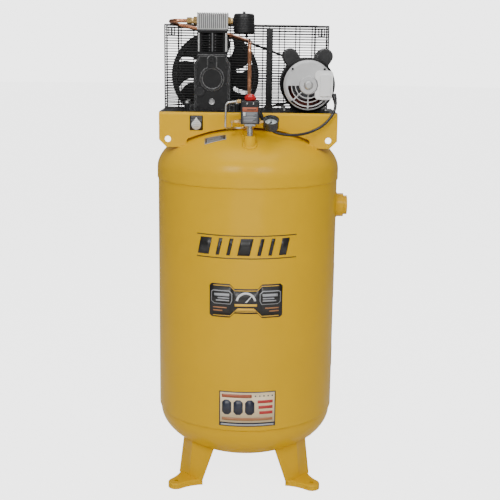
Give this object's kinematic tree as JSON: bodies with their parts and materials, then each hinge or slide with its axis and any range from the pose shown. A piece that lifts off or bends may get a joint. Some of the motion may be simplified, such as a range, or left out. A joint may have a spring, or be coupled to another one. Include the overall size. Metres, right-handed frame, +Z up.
{
  "type": "air compressor",
  "caption": "Upright stationary air compressor: vertical tank on legs, top platform with motor, belt-driven pump, wire guard, pressure switch and gauge.",
  "frame": {"origin": "on the floor, under the axis of the tank, at the centre of the four foot bolt holes", "axes": "+Z up along the tank axis; the front with the pressure switch faces -Y; the motor is at +X and the pump at -X"},
  "size_m": [0.6497, 0.616, 1.585],
  "materials": {
    "tank_paint": "gloss",
    "platform_paint": "gloss",
    "black_cast": "satin black paint",
    "bare_aluminium": "sand cast",
    "plate_steel": "ground",
    "zinc_steel": "zinc plated",
    "bearing_steel": "polished",
    "copper": "bright copper",
    "brass": "machined",
    "black_plastic": "moulded",
    "red_plastic": "gloss",
    "white_plastic": "satin",
    "glass": "clear",
    "motor_grey": "die cast",
    "motor_black": "satin",
    "windings": "enamelled copper wire",
    "core_steel": "laminated",
    "belt_rubber": "matt",
    "cable_rubber": "satin",
    "guard_wire": "satin powder coat",
    "gauge_black": "satin",
    "needle": "black painted"
  },
  "bodies": {
    "frame": {"tank_shell": "tank_paint", "tank_top_head": "tank_paint", "tank_bottom_head": "tank_paint", "side_port": "tank_paint", "tank_sockets": "tank_paint", "drain_valve": "brass", "legs": "tank_paint", "platform": "platform_paint", "crankcase": "black_cast", "crankcase_cover": "black_cast", "oil_filler_plug": "black_plastic", "oil_sight_glass": "glass", "bearing_carrier": "black_cast", "bearings": "bearing_steel", "cylinder": "black_cast", "valve_plate": "plate_steel", "cylinder_head": "bare_aluminium", "bolts": "zinc_steel", "head_fittings": "brass", "air_filter": "black_plastic", "drive_belt": "belt_rubber", "motor_shell": "motor_black", "motor_front_bell": "motor_grey", "motor_rear_bell": "motor_grey", "motor_hub_cap": "bare_aluminium", "stator_core": "core_steel", "stator_windings": "windings", "motor_base": "motor_black", "capacitor_covers": "motor_black", "terminal_cover": "white_plastic", "guard_front_mesh": "guard_wire", "guard_rear_mesh": "guard_wire", "guard_sides": "guard_wire", "guard_strap": "guard_wire", "switch_nipple": "zinc_steel", "switch_manifold": "zinc_steel", "switch_base": "plate_steel", "switch_cover": "black_plastic", "gauge_case": "gauge_black", "gauge_lens": "glass", "gauge_fitting": "brass", "relief_valve": "brass", "check_valve": "brass", "discharge_tube": "copper", "unloader_tube": "zinc_steel", "motor_lead": "cable_rubber", "lead_glands": "black_plastic"},
    "flywheel_set": {"flywheel": "black_cast", "flywheel_nut": "zinc_steel", "crankshaft": "bearing_steel"},
    "motor_rotor_set": {"motor_rotor": "core_steel", "motor_pulley": "black_cast"},
    "piston_set": {"piston": "bare_aluminium", "wrist_pin": "bearing_steel"},
    "rod_set": {"connecting_rod": "bare_aluminium"},
    "knob": {"switch_knob": "red_plastic"},
    "needle": {"gauge_needle": "needle"},
    "relief_pull": {"relief_stem": "brass"},
    "relief_pull_ring": {"relief_ring": "zinc_steel"},
    "drain_handle": {"drain_knob": "brass"}
  },
  "joints": [
    {"name": "flywheel_spin", "type": "hinge", "parent": "frame", "child": "flywheel_set", "pos_m": [-0.12, 0.205, 1.371], "axis": [0, 1, 0], "continuous": true},
    {"name": "motor_spin", "type": "hinge", "parent": "frame", "child": "motor_rotor_set", "pos_m": [0.193, 0, 1.352], "axis": [0, 1, 0], "continuous": true},
    {"name": "piston_slide", "type": "slide", "parent": "frame", "child": "piston_set", "axis": [0, 0, 1], "range_m": [-0.05, 0]},
    {"name": "rod_swing", "type": "hinge", "parent": "piston_set", "child": "rod_set", "pos_m": [-0.12, -0.026, 1.496], "axis": [0, 1, 0], "range_deg": [-14.5, 14.5]},
    {"name": "knob_pull", "type": "slide", "parent": "frame", "child": "knob", "axis": [0, 0, 1], "range_m": [0, 0.006]},
    {"name": "needle_sweep", "type": "hinge", "parent": "frame", "child": "needle", "pos_m": [0.072, -0.24, 1.238], "axis": [0, -0.5299, 0.848], "range_deg": [-270, 0]},
    {"name": "relief_pull_slide", "type": "slide", "parent": "frame", "child": "relief_pull", "axis": [-1, 0, 0], "range_m": [0, 0.003], "stiffness_N_per_m": 2000, "springref_m": -0.002},
    {"name": "relief_ring_swing", "type": "hinge", "parent": "relief_pull", "child": "relief_pull_ring", "pos_m": [-0.051, -0.232, 1.24], "axis": [0, 1, 0], "range_deg": [-15, 40]},
    {"name": "drain_turn", "type": "hinge", "parent": "frame", "child": "drain_handle", "pos_m": [0, 0, 0.03], "axis": [0, 0, 1], "range_deg": [0, 360]}
  ],
  "couplings": [
    {"joint": "motor_spin", "follows": "flywheel_spin", "ratio": 2.5}
  ]
}
